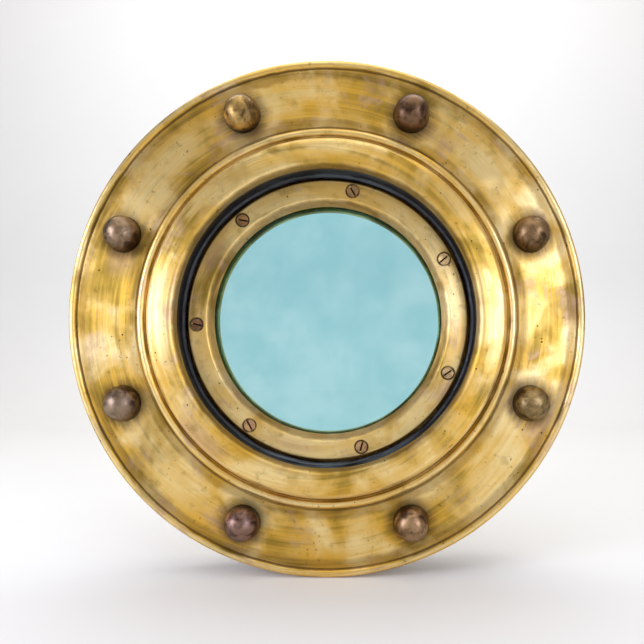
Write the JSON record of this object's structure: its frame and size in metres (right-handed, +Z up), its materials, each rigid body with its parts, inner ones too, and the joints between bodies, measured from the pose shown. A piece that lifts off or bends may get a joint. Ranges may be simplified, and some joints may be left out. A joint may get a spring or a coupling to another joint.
{
  "type": "opening porthole",
  "caption": "Round hinged port light: two flanges bolted through a hull, and an inward-opening glass frame held shut by swing dogs with wing nuts.",
  "frame": {"origin": "centre of the port on the hull's outer surface, in the plane of the outer flange's back face", "axes": "-Y is outboard, +Y is inboard, +Z is up; the hinge is on the -X side and the dogs on the +X side"},
  "size_m": [0.3999, 0.1071, 0.4],
  "materials": {
    "flange_brass": "aged golden brass, brushed round the port, with olive and brown patina and polished high spots",
    "frame_brass": "aged cast brass, dull, browned in the corners",
    "seal_rubber": "smooth black rubber with a wet gloss",
    "gasket_rubber": "matt black rubber",
    "bolt_bronze": "brown tarnished bronze domes with worn bright crowns",
    "fixing_brass": "dull yellow brass with dark edges",
    "pin_bronze": "turned bronze, satin",
    "glass_frame_brass": "aged cast brass, satin, brushed round the port",
    "bezel_brass": "aged brass, brushed, brown in the bevel",
    "screw_brass": "worn brass with dark slots",
    "clear_glass": "clear plate glass with a faint blue-green tint",
    "dog_bronze": "threaded bronze, satin",
    "wing_nut_brass": "cast brass, rubbed bright on the wings"
  },
  "bodies": {
    "mounting_frame": {"outer_flange": "flange_brass", "main_frame": "frame_brass", "throat_seal": "seal_rubber", "main_gasket": "gasket_rubber", "flange_bolts": "bolt_bronze", "flange_washers": "fixing_brass", "flange_nuts": "fixing_brass", "hinge_pin": "pin_bronze", "hinge_washer": "fixing_brass", "hinge_split_pin": "fixing_brass", "dog_pins": "pin_bronze", "dog_pin_washers": "fixing_brass", "dog_split_pins": "fixing_brass"},
    "glass_frame": {"glass_frame": "glass_frame_brass", "bezel_ring": "bezel_brass", "bezel_screws": "screw_brass", "glass_pane": "clear_glass", "front_glazing_seal": "gasket_rubber", "rear_glazing_seal": "gasket_rubber"},
    "upper_dog": {"upper_dog_bolt": "dog_bronze", "upper_keeper_pin": "pin_bronze"},
    "upper_dog_washer": {"upper_dog_washer": "fixing_brass"},
    "upper_wing_nut": {"upper_wing_nut": "wing_nut_brass"},
    "lower_dog": {"lower_dog_bolt": "dog_bronze", "lower_keeper_pin": "pin_bronze"},
    "lower_dog_washer": {"lower_dog_washer": "fixing_brass"},
    "lower_wing_nut": {"lower_wing_nut": "wing_nut_brass"}
  },
  "joints": [
    {"name": "glass_frame_hinge", "type": "hinge", "parent": "mounting_frame", "child": "glass_frame", "pos_m": [-0.15, 0.048, 0], "axis": [0, 0, 1], "range_deg": [0, 115]},
    {"name": "upper_dog_swing", "type": "hinge", "parent": "mounting_frame", "child": "upper_dog", "pos_m": [0.10465, 0.0415, 0.10465], "axis": [0.7071, 0, -0.7071], "range_deg": [-65, 0]},
    {"name": "upper_nut_travel", "type": "slide", "parent": "upper_dog", "child": "upper_dog_washer", "axis": [0.6409, 0.4226, 0.6409], "range_m": [-0.004, 0.003]},
    {"name": "upper_nut_spin", "type": "hinge", "parent": "upper_dog_washer", "child": "upper_wing_nut", "pos_m": [0.10465, 0.0415, 0.10465], "axis": [0.6409, 0.4226, 0.6409], "range_deg": [-965, 725]},
    {"name": "lower_dog_swing", "type": "hinge", "parent": "mounting_frame", "child": "lower_dog", "pos_m": [0.10465, 0.0415, -0.10465], "axis": [-0.7071, 0, -0.7071], "range_deg": [-65, 0]},
    {"name": "lower_nut_travel", "type": "slide", "parent": "lower_dog", "child": "lower_dog_washer", "axis": [0.6409, 0.4226, -0.6409], "range_m": [-0.004, 0.003]},
    {"name": "lower_nut_spin", "type": "hinge", "parent": "lower_dog_washer", "child": "lower_wing_nut", "pos_m": [0.10465, 0.0415, -0.10465], "axis": [0.6409, 0.4226, -0.6409], "range_deg": [-965, 725]}
  ],
  "couplings": [
    {"joint": "upper_nut_spin", "follows": "upper_nut_travel", "rad_per_m": 4188.8},
    {"joint": "lower_nut_spin", "follows": "lower_nut_travel", "rad_per_m": 4188.8}
  ]
}
